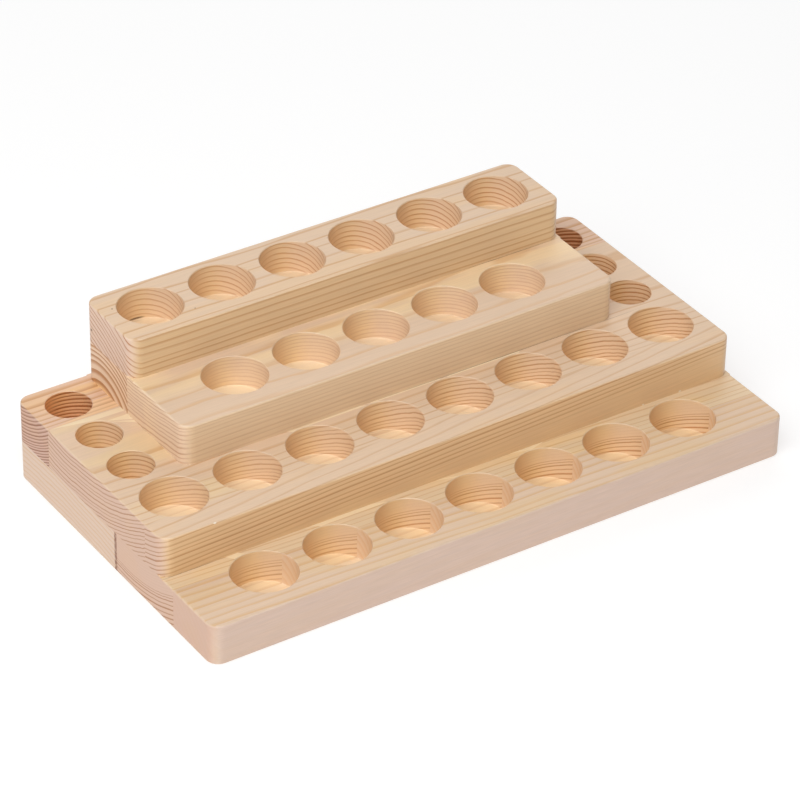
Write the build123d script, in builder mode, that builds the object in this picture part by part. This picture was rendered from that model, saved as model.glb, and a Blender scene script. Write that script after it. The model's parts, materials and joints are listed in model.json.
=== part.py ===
from build123d import *
import os

# Stepped paint rack: four tiers of pine board, glued one on another, with blind holes for
# bottles in the top of every step. Three of the tiers are glued up from strips of wood that
# run the full length.
# Millimetres. The origin is at the centre of the footprint, on the underside. +X runs along
# the length, +Y to the back and +Z up. The four tiers are flush at the back.

# Driving dimensions
rack_length = 300.0
upper_length = 228.0
rack_depth = 169.0
tier_thickness = 20.0
corner_radius = 6.0
top_edge_radius = 1.0
bottom_edge_chamfer = 0.5
rim_chamfer = 0.3
# Left by the cutter in the corner between a hole's wall and its floor
floor_chamfer = 0.4

# Front face of each upper tier, set back from the front of the rack
second_setback = 41.4
third_setback = 83.4
top_setback = 127.3

# Glue joints between strips, set back from the front of the rack at its left end. The base
# tier was cut from its panel a little askew, so its two joints come forward to the right.
base_front_joint = 32.7
base_back_joint = 81.5
base_joint_skew = -1.9
second_front_joint = 55.7
second_back_joint = 139.5
third_joint = 132.2

# Bottle holes: one row along each tier, set back from the front of the rack
bottle_radius = 15.0
bottle_pitch = 36.75
base_row_count = 7
base_row_setback = 23.8
second_row_count = 8
second_row_setback = 67.3
third_row_count = 5
third_row_setback = 107.9
top_row_count = 6
top_row_setback = 149.0

# Small holes: a column at each end of the second tier, beside the upper tiers
small_radius = 10.5
small_pitch = 27.5
small_column_count = 3
small_column_setback = 125.0
small_column_spacing = 264.8

# Hole depths: the lowest and the top tier are drilled a little deeper
outer_tier_depth = 16.0
inner_tier_depth = 15.5

# Level of each tier's underside, and of the rack's top
base_level = 0.0
second_level = tier_thickness
third_level = 2 * tier_thickness
top_level = 3 * tier_thickness
rack_height = 4 * tier_thickness

# Depth of each upper tier, from its front face to the flush back
second_depth = rack_depth - second_setback
third_depth = rack_depth - third_setback
top_depth = rack_depth - top_setback

front_y = -rack_depth / 2


def centre_y(setback):
    """Middle of the wood between this setback and the back."""
    return setback / 2


def upright_plane(setback):
    """Upright plane along the length at this setback. It faces the front."""
    return Plane.XZ.offset(-(front_y + setback))


def skewed_plane(setback, skew):
    """Upright plane that leaves the left end at this setback, turned by skew degrees."""
    along = Vector(1, 0, 0).rotate(Axis.Z, skew)
    facing = along.rotate(Axis.Z, -90)
    left_end = (-rack_length / 2, front_y + setback, base_level)
    return Plane(origin=left_end, x_dir=along, z_dir=facing)


# Each tier is glued up whole, shaped and drilled. Its strips are then taken out of it, so
# they meet face to face, and a hole that lies on a glue joint is shared by two strips.

# Lowest tier. Its top edge is eased in front of the second tier, and stays square where the
# second tier stands flush on it.
with BuildPart() as base_tier:
    with BuildSketch(Plane.XY.offset(base_level)):
        RectangleRounded(rack_length, rack_depth, corner_radius)
    extrude(amount=tier_thickness)
    fillet(faces().sort_by(Axis.Z)[-1].edges(), radius=top_edge_radius)
    with BuildSketch(Plane.XY.offset(base_level)):
        RectangleRounded(rack_length, rack_depth, corner_radius)
        with Locations((0, centre_y(second_setback))):
            Rectangle(rack_length, second_depth, mode=Mode.INTERSECT)
    extrude(amount=tier_thickness)
    chamfer(faces().sort_by(Axis.Z)[0].edges(), length=bottom_edge_chamfer)
    with BuildSketch(Plane.XY.offset(second_level)):
        with Locations((0, front_y + base_row_setback)):
            with GridLocations(bottle_pitch, 0, base_row_count, 1):
                Circle(bottle_radius)
    extrude(amount=-outer_tier_depth, mode=Mode.SUBTRACT)
    hole_edges = edges(Select.LAST).filter_by(GeomType.CIRCLE).group_by(Axis.Z)
    chamfer(hole_edges[0], length=floor_chamfer)
    chamfer(hole_edges[-1], length=rim_chamfer)

# Second tier, as long as the lowest. Its top edge stays square only where the third tier
# stands flush on its back edge.
with BuildPart() as second_tier:
    with BuildSketch(Plane.XY.offset(second_level)):
        with Locations((0, centre_y(second_setback))):
            RectangleRounded(rack_length, second_depth, corner_radius)
    extrude(amount=tier_thickness)
    fillet(faces().sort_by(Axis.Z)[-1].edges(), radius=top_edge_radius)
    with BuildSketch(Plane.XY.offset(second_level)):
        with Locations((0, centre_y(third_setback))):
            Rectangle(upper_length, third_depth)
    extrude(amount=tier_thickness)
    with BuildSketch(Plane.XY.offset(third_level)):
        with Locations((0, front_y + second_row_setback)):
            with GridLocations(bottle_pitch, 0, second_row_count, 1):
                Circle(bottle_radius)
        with Locations((0, front_y + small_column_setback)):
            with GridLocations(small_column_spacing, small_pitch, 2, small_column_count):
                Circle(small_radius)
    extrude(amount=-inner_tier_depth, mode=Mode.SUBTRACT)
    hole_edges = edges(Select.LAST).filter_by(GeomType.CIRCLE).group_by(Axis.Z)
    chamfer(hole_edges[0], length=floor_chamfer)
    chamfer(hole_edges[-1], length=rim_chamfer)

# Third tier. Its top edge is eased in front of the top tier, which stands flush on the rest.
with BuildPart() as third_tier:
    with BuildSketch(Plane.XY.offset(third_level)):
        with Locations((0, centre_y(third_setback))):
            RectangleRounded(upper_length, third_depth, corner_radius)
    extrude(amount=tier_thickness)
    fillet(faces().sort_by(Axis.Z)[-1].edges(), radius=top_edge_radius)
    with BuildSketch(Plane.XY.offset(third_level)):
        with Locations((0, centre_y(third_setback))):
            RectangleRounded(upper_length, third_depth, corner_radius)
        with Locations((0, centre_y(top_setback))):
            Rectangle(upper_length, top_depth, mode=Mode.INTERSECT)
    extrude(amount=tier_thickness)
    with BuildSketch(Plane.XY.offset(top_level)):
        with Locations((0, front_y + third_row_setback)):
            with GridLocations(bottle_pitch, 0, third_row_count, 1):
                Circle(bottle_radius)
    extrude(amount=-inner_tier_depth, mode=Mode.SUBTRACT)
    hole_edges = edges(Select.LAST).filter_by(GeomType.CIRCLE).group_by(Axis.Z)
    chamfer(hole_edges[0], length=floor_chamfer)
    chamfer(hole_edges[-1], length=rim_chamfer)

# Top tier: one board.
with BuildPart() as top_tier_board:
    with BuildSketch(Plane.XY.offset(top_level)):
        with Locations((0, centre_y(top_setback))):
            RectangleRounded(upper_length, top_depth, corner_radius)
    extrude(amount=tier_thickness)
    fillet(faces().sort_by(Axis.Z)[-1].edges(), radius=top_edge_radius)
    with BuildSketch(Plane.XY.offset(rack_height)):
        with Locations((0, front_y + top_row_setback)):
            with GridLocations(bottle_pitch, 0, top_row_count, 1):
                Circle(bottle_radius)
    extrude(amount=-outer_tier_depth, mode=Mode.SUBTRACT)
    hole_edges = edges(Select.LAST).filter_by(GeomType.CIRCLE).group_by(Axis.Z)
    chamfer(hole_edges[0], length=floor_chamfer)
    chamfer(hole_edges[-1], length=rim_chamfer)

# Strips of the lowest tier
with BuildPart() as base_tier_front_strip:
    add(base_tier.part)
    split(bisect_by=skewed_plane(base_front_joint, base_joint_skew), keep=Keep.TOP)

with BuildPart() as base_tier_middle_strip:
    add(base_tier.part)
    split(bisect_by=skewed_plane(base_front_joint, base_joint_skew), keep=Keep.BOTTOM)
    split(bisect_by=skewed_plane(base_back_joint, base_joint_skew), keep=Keep.TOP)

with BuildPart() as base_tier_back_strip:
    add(base_tier.part)
    split(bisect_by=skewed_plane(base_back_joint, base_joint_skew), keep=Keep.BOTTOM)

# Strips of the second tier. The rear small holes lie in its back strip.
with BuildPart() as second_tier_front_strip:
    add(second_tier.part)
    split(bisect_by=upright_plane(second_front_joint), keep=Keep.TOP)

with BuildPart() as second_tier_middle_strip:
    add(second_tier.part)
    split(bisect_by=upright_plane(second_front_joint), keep=Keep.BOTTOM)
    split(bisect_by=upright_plane(second_back_joint), keep=Keep.TOP)

with BuildPart() as second_tier_back_strip:
    add(second_tier.part)
    split(bisect_by=upright_plane(second_back_joint), keep=Keep.BOTTOM)

# Strips of the third tier
with BuildPart() as third_tier_front_strip:
    add(third_tier.part)
    split(bisect_by=upright_plane(third_joint), keep=Keep.TOP)

with BuildPart() as third_tier_back_strip:
    add(third_tier.part)
    split(bisect_by=upright_plane(third_joint), keep=Keep.BOTTOM)

base_tier_front_strip.part.label = "base_tier_front_strip"
base_tier_middle_strip.part.label = "base_tier_middle_strip"
base_tier_back_strip.part.label = "base_tier_back_strip"
second_tier_front_strip.part.label = "second_tier_front_strip"
second_tier_middle_strip.part.label = "second_tier_middle_strip"
second_tier_back_strip.part.label = "second_tier_back_strip"
third_tier_front_strip.part.label = "third_tier_front_strip"
third_tier_back_strip.part.label = "third_tier_back_strip"
top_tier_board.part.label = "top_tier_board"

os.makedirs("parts", exist_ok=True)
for piece in (
    base_tier_front_strip,
    base_tier_middle_strip,
    base_tier_back_strip,
    second_tier_front_strip,
    second_tier_middle_strip,
    second_tier_back_strip,
    third_tier_front_strip,
    third_tier_back_strip,
    top_tier_board,
):
    export_step(piece.part, f"parts/{piece.part.label}.step")
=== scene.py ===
"""Looks of the stepped pine paint rack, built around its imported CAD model."""

import json
import math
from collections import namedtuple
from types import SimpleNamespace

import bpy
from mathutils import Matrix, Vector


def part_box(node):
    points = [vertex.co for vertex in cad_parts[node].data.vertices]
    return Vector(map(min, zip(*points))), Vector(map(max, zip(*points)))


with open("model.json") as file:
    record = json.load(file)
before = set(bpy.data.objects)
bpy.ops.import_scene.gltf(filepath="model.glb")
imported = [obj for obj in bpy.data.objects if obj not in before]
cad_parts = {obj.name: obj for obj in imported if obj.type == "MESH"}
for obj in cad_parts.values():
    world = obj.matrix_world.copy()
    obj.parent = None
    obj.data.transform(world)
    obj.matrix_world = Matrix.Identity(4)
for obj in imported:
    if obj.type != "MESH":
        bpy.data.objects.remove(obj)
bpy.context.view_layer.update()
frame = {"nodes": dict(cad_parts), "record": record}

MM = 0.001

# ---------------------------------------------------------------------------
# The wood
#
# Every strip is a solid piece of pine. Its growth rings are cylinders about a pith line that
# runs along the strip, so one field gives the arcs on the ends, the lines on the faces and the
# curves on the hole walls. Millimetres, with y counted from the rack's front and z from the
# underside; x runs along the rack from its middle.

RACK_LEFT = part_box("base_tier_front_strip")[0].x / MM
RACK_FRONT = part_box("base_tier_front_strip")[0].y / MM

# early: the pale wood of spring; warm: the same in a yellow patch; late: the dark line that
# ends each year, as ends, fronts and hole walls show it; late_on_top: as the tops show it
PALE = dict(early=(0.84, 0.62, 0.42), warm=(0.92, 0.61, 0.29), late=(0.52, 0.25, 0.10),
            late_on_top=(0.62, 0.31, 0.09))
RUSTY = {**PALE, "late": (0.52, 0.22, 0.07)}
YELLOW = {**PALE, "warm": (0.91, 0.68, 0.38)}
# a lighter warm colour, partly the wood's yellow patch and partly painted light that lifts the
# shade in the crease under the top tier's front
GOLDEN_AND_PAINTED_LIGHT = {**PALE, "warm": (1.0, 0.755, 0.45), "late_on_top": (0.74, 0.40, 0.13)}
RUDDY = dict(early=(0.84, 0.57, 0.39), warm=(0.90, 0.57, 0.27), late=(0.40, 0.165, 0.065),
             late_on_top=(0.64, 0.32, 0.12))
CREAM = dict(early=(0.85, 0.65, 0.455), warm=(0.88, 0.64, 0.33), late=(0.76, 0.46, 0.17),
             late_on_top=(0.78, 0.49, 0.22))

# How each kind of face takes the light and how clearly it shows the rings: tops and fronts
# are planed, ends are sawn across the fibres and holes are bored. The tints are partly the
# wood's own colour, as the ends are darker, pinker end grain, and largely painted light: the
# tops less yellow as a painted whitish sheen, the fronts yellower as painted warm bounce light
# and the hole walls lighter as painted light in the bores
FACE_TINTS_AND_PAINTED_LIGHT = dict(top=(0.87, 0.855, 0.87), front=(0.96, 0.93, 0.80), end=(0.84, 0.78, 0.87),
             bored=(1.06, 1.07, 1.0))
CLARITY = dict(top=0.75, front=1.0, end=1.25, bored=1.0)

# slot: the record's material slot; colours: one of the sets above; seed: its own draw of every
# noise; pith: where the pith line crosses the middle of the rack; drift: how far it moves for
# each mm along the rack; rings: radius of one late-wood line, then a year's growth inside it
# and outside it; lines: how dark the late wood is; band: the part of the year at which late
# wood starts; wave and ripple: long and short wander of the rings; plain: the rings are faint
# from the first radius to the second; flames: how yellow the patches of yellow wood are, which
# lie from yellow_from back and mostly left of yellow_to; warmth: how far the patches spread;
# heart: inside this radius the wood is orange; marks: small dark places, and the long thin dark
# lines where a tier meets the one below, which are painted shade in that crease and partly a dark
# glue line; chips: small pale places; each mark and chip has its middle and its half sizes;
# dark_joint: it touches the dark glue line of the base tier's rear joint; tints, partly painted
# light and shade as above, and clarity: as above, where a strip differs
STRIPS = {
    "top_tier_board": dict(
        slot="pine_top", colours=RUSTY, seed=1.0,
        pith=(206, -56), drift=(0.0, 0.0), rings=(146.8, 2.45, 3.2),
        lines=0.85, band=0.58, wave=0.7, ripple=0.50, flames=0.3,
        tints_and_painted_light=dict(front=(0.915, 0.88, 0.755), end=(0.94, 0.94, 1.10), bored=(1.03, 1.02, 0.90)),
        clarity=dict(front=0.65, bored=0.8),
        marks_and_crease_shade=[((-91.0, 163.2, 64.8), (4.5, 2.0, 0.65)), ((-107.6, 155.3, 80.0), (0.5, 0.5, 0.5)),
               ((-76.3, 136.7, 80.0), (0.4, 0.4, 0.4)),
               ((-114.0, 163.0, 67.0), (0.8, 0.9, 0.7)), ((-114.0, 165.0, 63.8), (0.8, 1.0, 0.5))]),
    # its yellow patches, from yellow_from back, are partly painted light that lifts the shade in
    # the crease under the top tier's front
    "third_tier_front_strip": dict(
        slot="pine_third_front", colours=GOLDEN_AND_PAINTED_LIGHT, seed=2.0,
        pith=(137, 290), drift=(0.0, 0.004), rings=(242.3, 1.7, 2.35),
        lines=0.60, wave=1.4, ripple=0.40, flames=1.0, warmth=0.09, yellow_from=102,
        tints_and_painted_light=dict(top=(0.878, 0.87, 0.905), front=(0.97, 0.97, 0.92), end=(1.05, 1.06, 1.13),
                   bored=(1.055, 1.065, 0.975)),
        clarity=dict(front=0.52, top=0.75, bored=0.65),
        # painted shade in the crease at the top tier's foot, partly a dark glue line
        marks_and_crease_shade=[((85.0, 127.3, 60.0), (32.0, 0.25, 0.3))]),
    "third_tier_back_strip": dict(
        slot="pine_third_back", colours=PALE, seed=3.0,
        pith=(154.5, 24), drift=(0.0, 0.0), rings=(28.8, 4.65, 2.45),
        lines=0.95, band=0.30, wave=0.4, ripple=0.20, flames=0.3, heart=19.5,
        tints_and_painted_light=dict(end=(1.05, 1.05, 1.11)), clarity=dict(end=1.5)),
    "second_tier_front_strip": dict(
        slot="pine_second_front", colours=PALE, seed=4.0,
        pith=(88, 143), drift=(0.0, 0.045), rings=(119.7, 2.2, 2.2),
        lines=0.80, wave=1.0, ripple=0.30, plain=(126.0, 200.0), flames=0.2,
        tints_and_painted_light=dict(front=(0.95, 0.87, 0.71)), clarity=dict(front=0.92, top=0.6),
        chips=[((-123.8, 41.5, 39.6), (0.9, 0.5, 0.5)), ((121.6, 41.4, 20.5), (0.9, 0.4, 0.5)),
               ((101.0, 41.4, 20.4), (0.7, 0.4, 0.4))]),
    "second_tier_middle_strip": dict(
        slot="pine_second_middle", colours=YELLOW, seed=5.0,
        pith=(122, 148), drift=(0.0, 0.0), rings=(125.5, 2.2, 1.75),
        lines=0.75, wave=1.6, ripple=0.40, flames=0.75, yellow_to=-100,
        tints_and_painted_light=dict(bored=(1.06, 1.05, 0.91)), clarity=dict(bored=1.05),
        # painted shade in the crease at the third tier's foot, partly a dark glue line
        marks_and_crease_shade=[((58.0, 83.4, 40.0), (75.0, 0.3, 0.4))]),
    "second_tier_back_strip": dict(
        slot="pine_second_back", colours=RUDDY, seed=6.0,
        pith=(174.5, 80), drift=(0.0, 0.0), rings=(57.0, 1.75, 1.3),
        lines=0.95, band=0.30, wave=0.5, ripple=0.18, flames=1.0, yellow_to=-100,
        tints_and_painted_light=dict(end=(0.79, 0.745, 0.84), bored=(1.03, 0.92, 0.68)),
        clarity=dict(top=1.0, bored=1.4)),
    "base_tier_front_strip": dict(
        slot="pine_base_front", colours=CREAM, seed=7.0,
        pith=(120, -88), drift=(-0.033, 0.0), rings=(150.0, 3.3, 3.3),
        lines=0.85, band=0.30, wave=2.2, ripple=0.60, flames=0.5,
        tints_and_painted_light=dict(top=(0.845, 0.815, 0.835), front=(0.83, 0.80, 0.92), end=(0.81, 0.71, 0.77),
                   bored=(1.04, 1.0, 0.87)),
        clarity=dict(front=0.1, end=0.15, bored=0.45, top=0.9)),
    "base_tier_middle_strip": dict(
        slot="pine_base_middle", colours=PALE, seed=8.0,
        pith=(67, 90), drift=(-0.033, 0.0), rings=(85.7, 1.4, 2.2),
        lines=0.85, wave=0.7, ripple=0.25, plain=(0.0, 83.0), flames=0.5, dark_joint=True,
        tints_and_painted_light=dict(top=(0.91, 0.93, 0.89), bored=(1.07, 1.05, 0.87)),
        # painted shade in the crease at the second tier's foot, partly a dark glue line
        marks_and_crease_shade=[((-136.0, 41.4, 20.0), (16.0, 0.25, 0.3))]),
    "base_tier_back_strip": dict(
        slot="pine_base_back", colours=CREAM, seed=9.0,
        pith=(130, -400), drift=(-0.033, 0.0), rings=(403.3, 2.6, 2.6),
        lines=0.60, wave=1.6, ripple=0.60, flames=0.0, dark_joint=True,
        tints_and_painted_light=dict(end=(0.895, 0.88, 0.99)), clarity=dict(end=1.15)),
}

# Each noise: how fast it changes per mm along the strip, back and up, what it adds to the
# strip's seed, and its detail
NOISES = dict(
    wave=((0.010, 0.030, 0.030), 0.0, 1.0),
    ripple=((0.030, 0.20, 0.20), 20.0, 2.0),
    patches=((0.016, 0.07, 0.07), 40.0, 2.0),
    fibres=((0.06, 1.6, 1.6), 60.0, 3.0),
    edge_highlight_and_wear_noise=((0.10, 0.10, 0.10), 80.0, 2.0),
    joint_breaks=((0.5, 0.5, 0.6), 90.0, 2.0),
)
NOISE_SEED_STEP = (3.1, 5.3, 7.7)

# The year runs from 0 to 1. Late wood builds up from its band to LATE_FULL and fades from
# LATE_STOP to the year's end; the known line of a strip's rings lies at LATE_PEAK
LATE_BAND = 0.52
LATE_BAND_LATER_ON_TOP = 0.15
LATE_FULL = 0.88
LATE_PEAK = 0.90
LATE_STOP = 0.92
# Years differ in length and in how dark their late wood is
UNEVEN_PER_YEAR = 0.6
UNEVEN_YEARS = 0.35
UNEVEN_SEED_STEP = 7.0
FAINTEST_YEAR = 0.70
YEAR_SEED_STEP = 11.0
# How clearly the rings still show in plain wood, and how soft its borders are
PLAIN_CLARITY = 0.10
PLAIN_CLEARER_ON_TOP = 0.7
PLAIN_BORDER = 0.6

# Parts of the surface normal at which one kind of face gives way to the next
TOP_FROM, TOP_FULL = 0.45, 0.9
END_FROM, END_FULL = 0.35, 0.95
RIM_RISE, RIM_FALL = (0.08, 0.45), (0.70, 0.96)
CORNER_RISE, CORNER_FALL = (0.25, 0.5), (0.75, 0.97)
CORNER_HIGHLIGHT_AND_WEAR = 0.7
LEFT_WALL_FROM, LEFT_WALL_FULL = -0.25, 0.45
RIGHT_WALL_FULL, RIGHT_WALL_TO = -0.8, -0.1

# In a hole the floor and the sides of the wall are tinted apart from the back of the wall as
# painted light: painted shade on the left side of the wall, which faces away from the key light,
# and a cooler painted light on the floor and the right side. The rings are fainter on the left
# of the wall and on the floor, and clearer towards the rack's right-hand end
HOLE_FLOOR_PAINTED_LIGHT = (0.95, 1.04, 1.20)
HOLE_FLOOR_CLARITY = 0.4
LEFT_WALL_PAINTED_SHADE = (0.965, 0.90, 0.86)
LEFT_WALL_CLARITY = 0.35
RIGHT_WALL_PAINTED_LIGHT = (0.96, 0.98, 1.15)
RACK_ENDS = (-150.0, 150.0)
BORED_CLARITY_ALONG = (0.85, 1.25)
# The narrow holes are painted darker and less yellow, as painted shade in these narrower bores,
# and show the rings more clearly
NARROW_RADIUS = 12.0
NARROW_HOLE_PAINTED_SHADE = (0.98, 0.96, 0.91)
NARROW_HOLE_CLARITY = 1.35
# A face is in a hole when its middle is no further than this outside the stated bore, and at
# least this far below its mouth
BORE_SIDE_SLACK = 0.1
BELOW_MOUTH = 0.2

# Yellow patches: where they start and are full in their noise, how much of them shows on
# faces cut across the fibres and on fronts, and how soft their borders are
PATCH_FROM, PATCH_FULL = -0.04, 0.16
PATCH_ON_CUT = 0.25
PATCH_ON_FRONT = 0.2
YELLOW_FROM_BORDER = 14
YELLOW_TO_BORDER = 20
YELLOW_BEYOND = 0.15
HEART_BORDER = (-3, 1)

# Fine fibres: how strongly they shade the wood, and what cut faces add to that
FIBRE_SHADE = 0.21
FIBRE_SHADE_ON_CUT = -0.12

# Edges painted paler: a painted highlight along the rounded edges, rims and corners, partly
# wear from sanding and handling
EDGE_HIGHLIGHT_AND_WEAR_COLOUR = (0.90, 0.75, 0.58)
EDGE_HIGHLIGHT_AND_WEAR_AMOUNT = 0.28
EDGE_HIGHLIGHT_AND_WEAR_BREAKS = (-0.25, 0.20)
EDGE_HIGHLIGHT_AND_WEAR_LEAST = 0.25

# The base tier's rear glue joint shows as a dark line where it is cut across
DARK_JOINT_SETBACK = 81.5
DARK_JOINT_SKEW = -0.033
DARK_JOINT_COLOUR = (0.30, 0.14, 0.085)
DARK_JOINT_HALF_WIDTH = (0.6, 1.3)
DARK_JOINT_BREAKS = (-0.20, 0.10)
DARK_JOINT_FAINTEST = 0.35

# Marks and chips: soft oval spots, which fade between these parts of their half sizes. The long
# thin marks at the foot of a tier are painted shade in that crease, partly a dark glue line
MARK_AND_CREASE_SHADE_COLOUR = (0.14, 0.07, 0.03)
CHIP_COLOUR = (0.93, 0.84, 0.70)
SPOT_EDGE = (0.5, 1.1)
SPOT_AMOUNT = 0.85

# Finish of bare sanded wood: its roughness and what each thing adds to it, then the strength
# of the bump, its depth in mm, and the relief of fibres on cut faces and of late wood
ROUGHNESS = 0.52
ROUGHER_FIBRES = 0.20
ROUGHER_LATE_WOOD = -0.08
ROUGHER_CUT = 0.10
ROUGHER_ON_HIGHLIT_WORN_EDGES = -0.06
BUMP_STRENGTH = 0.30
BUMP_DEPTH = 0.06
CUT_FIBRE_RELIEF = 0.3
LATE_WOOD_RELIEF = 0.8

Bore = namedtuple("Bore", "x y mouth radius")


def stated_bores():
    """Middle, mouth level and radius of every hole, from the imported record."""
    found = []
    for mount in frame["record"]["mounts"]:
        if mount["kind"] == "bore":
            x, y, z = (value / MM for value in mount["pos_m"])
            half = mount["dims"]["length_mm"] / 2
            found.append(Bore(x, y, z + half, mount["dims"]["r_mm"]))
    return found


def mark_bores(body, name, bores):
    """Gives each face of a strip a value: 1 on the walls and floors of these holes, 0 elsewhere."""
    mesh = body.data
    values = []
    for face in mesh.polygons:
        middle = face.center / MM
        inside = any(
            math.hypot(middle.x - bore.x, middle.y - bore.y) < bore.radius + BORE_SIDE_SLACK
            and middle.z < bore.mouth - BELOW_MOUTH
            for bore in bores)
        values.append(float(inside))
    layer = mesh.attributes.new(name, "FLOAT", "FACE")
    layer.data.foreach_set("value", values)


class Wood:
    """A node tree with short calls for the sums that the wood needs."""

    def __init__(self, name):
        self.material = bpy.data.materials.new(name)
        self.material.use_nodes = True
        self.tree = self.material.node_tree
        self.shader = self.tree.nodes["Principled BSDF"]

    def node(self, kind, **settings):
        made = self.tree.nodes.new(kind)
        for key, value in settings.items():
            setattr(made, key, value)
        return made

    def put(self, socket, value):
        """Links a socket into this one, or sets this one to a value."""
        if isinstance(value, bpy.types.NodeSocket):
            self.tree.links.new(value, socket)
        else:
            socket.default_value = value

    def put_all(self, made, values):
        """Puts the values into a node's first inputs, in order."""
        for socket, value in zip(made.inputs, values):
            self.put(socket, value)
        return made

    def math(self, operation, *values):
        return self.put_all(self.node("ShaderNodeMath", operation=operation), values).outputs[0]

    def total(self, *values):
        result = values[0]
        for value in values[1:]:
            result = self.math("ADD", result, value)
        return result

    def times(self, *values):
        result = values[0]
        for value in values[1:]:
            result = self.math("MULTIPLY", result, value)
        return result

    def scaled(self, amount, factor):
        """1 where the amount is 0, and the factor where it is 1."""
        return self.math("MULTIPLY_ADD", amount, factor - 1.0, 1.0)

    def vector(self, operation, *values):
        made = self.put_all(self.node("ShaderNodeVectorMath", operation=operation), values)
        return made.outputs["Value"] if operation == "LENGTH" else made.outputs[0]

    def split(self, vector):
        """The x, y and z of a vector."""
        x, y, z = self.put_all(self.node("ShaderNodeSeparateXYZ"), [vector]).outputs
        return x, y, z

    def attribute(self, name):
        return self.node("ShaderNodeAttribute", attribute_name=name).outputs["Fac"]

    def noise(self, kind, place, seed):
        """One of NOISES at a place, about 0 and within about half either way."""
        scale, more_seed, detail = NOISES[kind]
        offset = tuple((seed + more_seed) * step for step in NOISE_SEED_STEP)
        made = self.node("ShaderNodeTexNoise", noise_dimensions="3D")
        self.put(made.inputs["Vector"], self.vector("MULTIPLY_ADD", place, scale, offset))
        made.inputs["Scale"].default_value = 1.0
        made.inputs["Detail"].default_value = detail
        return self.math("SUBTRACT", made.outputs["Fac"], 0.5)

    def noise_along(self, value, seed):
        """1-D noise about 0."""
        made = self.node("ShaderNodeTexNoise", noise_dimensions="1D")
        self.put(made.inputs["W"], self.math("ADD", value, seed))
        made.inputs["Scale"].default_value = 1.0
        made.inputs["Detail"].default_value = 0.0
        return self.math("SUBTRACT", made.outputs["Fac"], 0.5)

    def ramp(self, value, low, high, to_low=0.0, to_high=1.0):
        """Smooth step of a value."""
        made = self.node("ShaderNodeMapRange", interpolation_type="SMOOTHSTEP")
        return self.put_all(made, (value, low, high, to_low, to_high)).outputs[0]

    def between(self, value, rise, fall):
        """1 between the rise and the fall, each a smooth step, and 0 outside them."""
        return self.times(self.ramp(value, *rise), self.ramp(value, *fall, 1.0, 0.0))

    def mix(self, amount, first, second, blend="MIX"):
        made = self.node("ShaderNodeMix", data_type="RGBA", blend_type=blend)
        self.put(made.inputs[0], amount)
        for socket, colour in ((made.inputs[6], first), (made.inputs[7], second)):
            if isinstance(colour, tuple):
                colour = (*colour, 1.0)
            self.put(socket, colour)
        return made.outputs[2]


def read_faces(wood):
    """How far the surface is each kind of face, each 0 to 1."""
    normal_x, _, normal_z = wood.split(wood.node("ShaderNodeNewGeometry").outputs["Normal"])
    sideways = wood.math("ABSOLUTE", normal_x)
    upright = wood.math("ABSOLUTE", normal_z)
    bored = wood.attribute("bored")
    outside = wood.math("SUBTRACT", 1.0, bored)
    top = wood.ramp(upright, TOP_FROM, TOP_FULL)
    not_top = wood.math("SUBTRACT", 1.0, top)
    end = wood.times(wood.ramp(sideways, END_FROM, END_FULL), not_top)
    front = wood.math("SUBTRACT", not_top, end)
    kinds = dict(
        top=wood.times(top, outside), end=wood.times(end, outside),
        front=wood.times(front, outside), bored=bored)

    # the rounded top edges and upright corners are sanded, and carry a painted highlight
    rim = wood.times(wood.between(upright, RIM_RISE, RIM_FALL), outside)
    corner = wood.times(wood.between(sideways, CORNER_RISE, CORNER_FALL), outside, CORNER_HIGHLIGHT_AND_WEAR)

    hole_floor = wood.times(top, bored)
    wall = wood.math("SUBTRACT", bored, hole_floor)
    left = wood.ramp(normal_x, LEFT_WALL_FROM, LEFT_WALL_FULL)
    right = wood.ramp(normal_x, RIGHT_WALL_FULL, RIGHT_WALL_TO, 1.0, 0.0)
    return SimpleNamespace(
        kinds=kinds,
        cut=wood.math("ADD", kinds["end"], bored),
        highlit_and_worn=wood.math("MAXIMUM", rim, corner),
        hole_floor=hole_floor,
        left_wall=wood.times(left, wall),
        right_wall=wood.times(right, wall),
        narrow=wood.attribute("narrow"))


def grain_place(wood, strip, place):
    """The place in the strip's own grain: along it, back from the front, and up."""
    x, y, z = wood.split(place)
    drift_y, drift_z = strip["drift"]
    from_front = wood.math("SUBTRACT", y, RACK_FRONT)
    back = wood.math("SUBTRACT", from_front, wood.times(x, drift_y))
    up = wood.math("SUBTRACT", z, wood.times(x, drift_z))
    return wood.put_all(wood.node("ShaderNodeCombineXYZ"), (x, back, up)).outputs[0]


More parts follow.
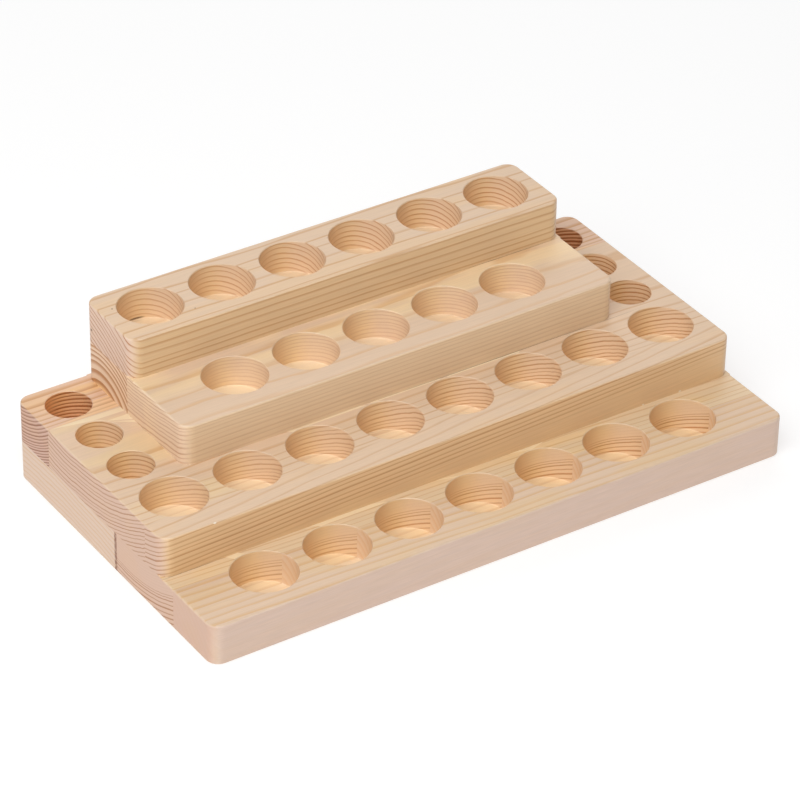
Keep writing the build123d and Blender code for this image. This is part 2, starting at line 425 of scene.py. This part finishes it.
def late_wood(wood, strip, grain, top):
    """Late wood at a place, 0 to 1, and the radius there."""
    seed = strip["seed"]
    pith_y, pith_z = strip["pith"]
    across = wood.vector("MULTIPLY_ADD", grain, (0, 1, 1), (0, -pith_y, -pith_z))
    radius = wood.vector("LENGTH", across)
    for wander in ("wave", "ripple"):
        # the noise reaches half either way, so twice it gives the stated wander
        shift = wood.times(wood.noise(wander, grain, seed), 2.0 * strip[wander])
        radius = wood.total(radius, shift)

    line_radius, inside, outside = strip["rings"]
    outward = wood.math("SUBTRACT", radius, line_radius)
    years = wood.total(
        LATE_PEAK,
        wood.times(wood.math("MINIMUM", outward, 0.0), 1.0 / inside),
        wood.times(wood.math("MAXIMUM", outward, 0.0), 1.0 / outside))
    uneven = wood.noise_along(wood.times(years, UNEVEN_PER_YEAR), seed * UNEVEN_SEED_STEP)
    years = wood.math("MULTIPLY_ADD", uneven, UNEVEN_YEARS, years)

    # late wood builds up slowly through the year and ends sharply
    start = wood.math("MULTIPLY_ADD", top, LATE_BAND_LATER_ON_TOP, strip.get("band", LATE_BAND))
    late = wood.between(wood.math("FRACT", years), (start, LATE_FULL), (LATE_STOP, 1.0))
    each_year = wood.node("ShaderNodeTexWhiteNoise", noise_dimensions="1D")
    year = wood.math("FLOOR", years)
    wood.put(each_year.inputs["W"], wood.math("ADD", year, seed * YEAR_SEED_STEP))
    late = wood.times(late, wood.ramp(each_year.outputs["Value"], 0.0, 1.0, FAINTEST_YEAR, 1.0))
    if "plain" in strip:
        first, last = strip["plain"]
        within = wood.between(
            radius,
            (first - PLAIN_BORDER, first + PLAIN_BORDER),
            (last - PLAIN_BORDER, last + PLAIN_BORDER))
        shown = wood.math("MULTIPLY_ADD", top, PLAIN_CLEARER_ON_TOP, PLAIN_CLARITY)
        late = wood.times(late, wood.ramp(within, 0.0, 1.0, 1.0, shown))
    return late, radius


def ring_clarity(wood, strip, along, faces):
    """How clearly the rings show, by kind of face and by place in a hole."""
    clarity = {**CLARITY, **strip.get("clarity", {})}
    by_kind = wood.total(
        *(wood.times(amount, clarity[kind]) for kind, amount in faces.kinds.items()))
    rightward = wood.ramp(along, *RACK_ENDS, *BORED_CLARITY_ALONG)
    return wood.times(
        by_kind,
        wood.ramp(faces.kinds["bored"], 0.0, 1.0, 1.0, rightward),
        wood.scaled(faces.narrow, NARROW_HOLE_CLARITY),
        wood.scaled(faces.left_wall, LEFT_WALL_CLARITY),
        wood.scaled(faces.hole_floor, HOLE_FLOOR_CLARITY))


def yellow_wood(wood, strip, grain, radius, faces):
    """Patches of yellower wood, drawn out along the grain, that show mostly on the tops."""
    along, back, _ = wood.split(grain)
    warmth = strip.get("warmth", 0.0)
    patches = wood.noise("patches", grain, strip["seed"])
    flames = wood.times(
        wood.ramp(patches, PATCH_FROM - warmth, PATCH_FULL - warmth),
        wood.scaled(faces.cut, PATCH_ON_CUT),
        wood.scaled(faces.kinds["front"], PATCH_ON_FRONT),
        strip["flames"])
    if "yellow_from" in strip:
        first = strip["yellow_from"]
        flames = wood.times(flames, wood.ramp(back, first, first + YELLOW_FROM_BORDER))
    if "yellow_to" in strip:
        last = strip["yellow_to"]
        fading = wood.ramp(
            along, last - YELLOW_TO_BORDER, last + YELLOW_TO_BORDER, 1.0, YELLOW_BEYOND)
        flames = wood.times(flames, fading)
    if "heart" in strip:
        inner, outer = (strip["heart"] + border for border in HEART_BORDER)
        flames = wood.math("MAXIMUM", flames, wood.ramp(radius, inner, outer, 1.0, 0.0))
    return flames


def dark_joint(wood, place):
    """1 on the glue line of the base tier's rear joint, broken up along its height."""
    x, y, _ = wood.split(place)
    at_middle = RACK_FRONT + DARK_JOINT_SETBACK - DARK_JOINT_SKEW * RACK_LEFT
    line = wood.math("MULTIPLY_ADD", x, DARK_JOINT_SKEW, at_middle)
    away = wood.math("ABSOLUTE", wood.math("SUBTRACT", y, line))
    breaks = wood.noise("joint_breaks", place, 0.0)
    return wood.times(
        wood.ramp(away, *DARK_JOINT_HALF_WIDTH, 1.0, 0.0),
        wood.ramp(breaks, *DARK_JOINT_BREAKS, DARK_JOINT_FAINTEST, 1.0))


def spot(wood, place, middle, size):
    """Most of 1 inside a small oval place and 0 outside it."""
    scale = tuple(1 / value for value in size)
    middle = (middle[0], middle[1] + RACK_FRONT, middle[2])
    offset = tuple(-a * b for a, b in zip(middle, scale))
    away = wood.vector("LENGTH", wood.vector("MULTIPLY_ADD", place, scale, offset))
    return wood.ramp(away, *SPOT_EDGE, SPOT_AMOUNT, 0.0)


def sanded_surface(wood, colour, fibres, late, edge_highlight_and_wear, cut):
    """Colour, roughness and fine relief of bare sanded wood."""
    wood.put(wood.shader.inputs["Base Color"], colour)
    roughness = wood.total(
        ROUGHNESS,
        wood.times(fibres, ROUGHER_FIBRES),
        wood.times(late, ROUGHER_LATE_WOOD),
        wood.times(cut, ROUGHER_CUT),
        wood.times(edge_highlight_and_wear, ROUGHER_ON_HIGHLIT_WORN_EDGES))
    wood.put(wood.shader.inputs["Roughness"], roughness)
    bump = wood.node("ShaderNodeBump")
    bump.inputs["Strength"].default_value = BUMP_STRENGTH
    bump.inputs["Distance"].default_value = BUMP_DEPTH * MM
    fibre_relief = wood.times(fibres, wood.scaled(cut, CUT_FIBRE_RELIEF))
    relief = wood.total(fibre_relief, wood.times(late, LATE_WOOD_RELIEF))
    wood.put(bump.inputs["Height"], relief)
    wood.put(wood.shader.inputs["Normal"], bump.outputs["Normal"])


def pine(strip):
    """Sanded, unvarnished pine for one strip."""
    wood = Wood(strip["slot"])
    seed = strip["seed"]
    colours = strip["colours"]
    coordinates = wood.node("ShaderNodeTexCoord").outputs["Object"]
    place = wood.vector("MULTIPLY", coordinates, (1 / MM,) * 3)
    grain = grain_place(wood, strip, place)
    along, _, _ = wood.split(grain)
    faces = read_faces(wood)
    top = faces.kinds["top"]

    late, radius = late_wood(wood, strip, grain, top)
    contrast = wood.times(late, ring_clarity(wood, strip, along, faces), strip["lines"])
    flames = yellow_wood(wood, strip, grain, radius, faces)
    early_colour = wood.mix(flames, colours["early"], colours["warm"])
    late_colour = wood.mix(top, colours["late"], colours["late_on_top"])
    colour = wood.mix(contrast, early_colour, late_colour)

    # fine fibres, drawn out along the grain
    fibres = wood.noise("fibres", grain, seed)
    fibre_shade = wood.math("MULTIPLY_ADD", faces.cut, FIBRE_SHADE_ON_CUT, FIBRE_SHADE)
    colour = wood.vector("MULTIPLY", colour, wood.math("MULTIPLY_ADD", fibres, fibre_shade, 1.0))

    # the tints by kind of face and by place in a hole are partly the wood's own colour and largely
    # painted light and shade, as above
    tints_and_painted_light = {**FACE_TINTS_AND_PAINTED_LIGHT, **strip.get("tints_and_painted_light", {})}
    tinted = [(amount, tints_and_painted_light[kind]) for kind, amount in faces.kinds.items()]
    tinted += [
        (faces.hole_floor, HOLE_FLOOR_PAINTED_LIGHT), (faces.left_wall, LEFT_WALL_PAINTED_SHADE),
        (faces.right_wall, RIGHT_WALL_PAINTED_LIGHT), (faces.narrow, NARROW_HOLE_PAINTED_SHADE)]
    for amount, tint in tinted:
        colour = wood.mix(amount, colour, tint, "MULTIPLY")

    # edges carry an uneven painted highlight, partly rubbed wear
    edge_highlight_and_wear_noise = wood.noise("edge_highlight_and_wear_noise", place, seed)
    edge_highlight_and_wear = wood.times(faces.highlit_and_worn, wood.ramp(edge_highlight_and_wear_noise, *EDGE_HIGHLIGHT_AND_WEAR_BREAKS, EDGE_HIGHLIGHT_AND_WEAR_LEAST, 1.0))
    colour = wood.mix(wood.times(edge_highlight_and_wear, EDGE_HIGHLIGHT_AND_WEAR_AMOUNT), colour, EDGE_HIGHLIGHT_AND_WEAR_COLOUR)

    if strip.get("dark_joint"):
        joint = wood.times(dark_joint(wood, place), faces.kinds["end"])
        colour = wood.mix(joint, colour, DARK_JOINT_COLOUR)
    for spots, spot_colour in (("marks_and_crease_shade", MARK_AND_CREASE_SHADE_COLOUR), ("chips", CHIP_COLOUR)):
        for middle, size in strip.get(spots, []):
            colour = wood.mix(spot(wood, place, middle, size), colour, spot_colour)

    sanded_surface(wood, colour, fibres, late, edge_highlight_and_wear, faces.cut)
    return wood.material


bores = stated_bores()
narrow_bores = [bore for bore in bores if bore.radius < NARROW_RADIUS]
for node_name, strip in STRIPS.items():
    body = frame["nodes"][node_name]
    mark_bores(body, "bored", bores)
    mark_bores(body, "narrow", narrow_bores)
    body.data.materials.clear()
    body.data.materials.append(pine(strip))

# ---------------------------------------------------------------------------
# Studio: a pale floor, a white room, a large soft light from the front left and above, and a
# dimmer panel from the back right

FLOOR_SIZE = 40.0
FLOOR_COLOUR = (0.50, 0.50, 0.50, 1)
FLOOR_ROUGHNESS = 0.9
FLOOR_GLOW = 0.55
WHITE = (1, 1, 1, 1)


def studio_floor():
    """A wide pale floor, which glows a little so that it comes out near white."""
    half = FLOOR_SIZE / 2
    mesh = bpy.data.meshes.new("floor")
    corners = [(-half, -half, 0), (half, -half, 0), (half, half, 0), (-half, half, 0)]
    mesh.from_pydata(corners, [], [(0, 1, 2, 3)])
    floor = bpy.data.objects.new("floor", mesh)
    bpy.context.scene.collection.objects.link(floor)
    material = bpy.data.materials.new("pale_floor")
    material.use_nodes = True
    shader = material.node_tree.nodes["Principled BSDF"]
    shader.inputs["Base Color"].default_value = FLOOR_COLOUR
    shader.inputs["Roughness"].default_value = FLOOR_ROUGHNESS
    shader.inputs["Specular IOR Level"].default_value = 0.0
    shader.inputs["Emission Color"].default_value = WHITE
    shader.inputs["Emission Strength"].default_value = FLOOR_GLOW
    mesh.materials.append(material)


def white_room(strength):
    """Even white light from all around."""
    world = bpy.data.worlds.new("white_room")
    bpy.context.scene.world = world
    world.use_nodes = True
    background = world.node_tree.nodes["Background"]
    background.inputs["Color"].default_value = WHITE
    background.inputs["Strength"].default_value = strength


def soft_light(name, direction, distance, size, radiance):
    """A square panel of this brightness that lies in this direction and faces the rack."""
    data = bpy.data.lights.new(name, "AREA")
    data.shape = "SQUARE"
    data.size = size
    data.energy = radiance * math.pi * size * size
    light = bpy.data.objects.new(name, data)
    bpy.context.scene.collection.objects.link(light)
    towards = Vector(direction).normalized()
    light.location = towards * distance
    light.rotation_euler = towards.to_track_quat("Z", "Y").to_euler()


studio_floor()
white_room(strength=0.335)
soft_light("key_light", direction=(-0.6, -0.45, 1.0), distance=1.4, size=1.232, radiance=3.12)
soft_light("back_panel", direction=(0.46, 0.69, 0.56), distance=2.5, size=2.2, radiance=1.3)

# ---------------------------------------------------------------------------
# Camera: a long lens from the front left and above, fitted to the rack's edges and holes in
# the photograph. Distances in metres; sensor and focal length in mm

TARGET = Vector((-6.4, -6.4, 40.0)) * MM
AZIMUTH = math.radians(33.718)
ELEVATION = math.radians(33.727)
ROLL = math.radians(1.01)
DISTANCE = 1.7963
SENSOR_WIDTH = 36.0
FOCAL_LENGTH = 182.638
CLIP_START = 0.05


def photo_camera():
    """The camera at the photograph's viewing angle."""
    data = bpy.data.cameras.new("camera")
    data.sensor_width = SENSOR_WIDTH
    data.lens = FOCAL_LENGTH
    data.clip_start = CLIP_START
    camera = bpy.data.objects.new("camera", data)
    bpy.context.scene.collection.objects.link(camera)
    flat = math.cos(ELEVATION)
    back = Vector((-math.sin(AZIMUTH) * flat, -math.cos(AZIMUTH) * flat, math.sin(ELEVATION)))
    level = back.to_track_quat("Z", "Y").to_matrix().to_4x4()
    camera.matrix_world = (
        Matrix.Translation(TARGET + back * DISTANCE) @ level @ Matrix.Rotation(ROLL, 4, "Z"))
    bpy.context.scene.camera = camera


photo_camera()
bpy.context.scene.view_settings.view_transform = "Standard"
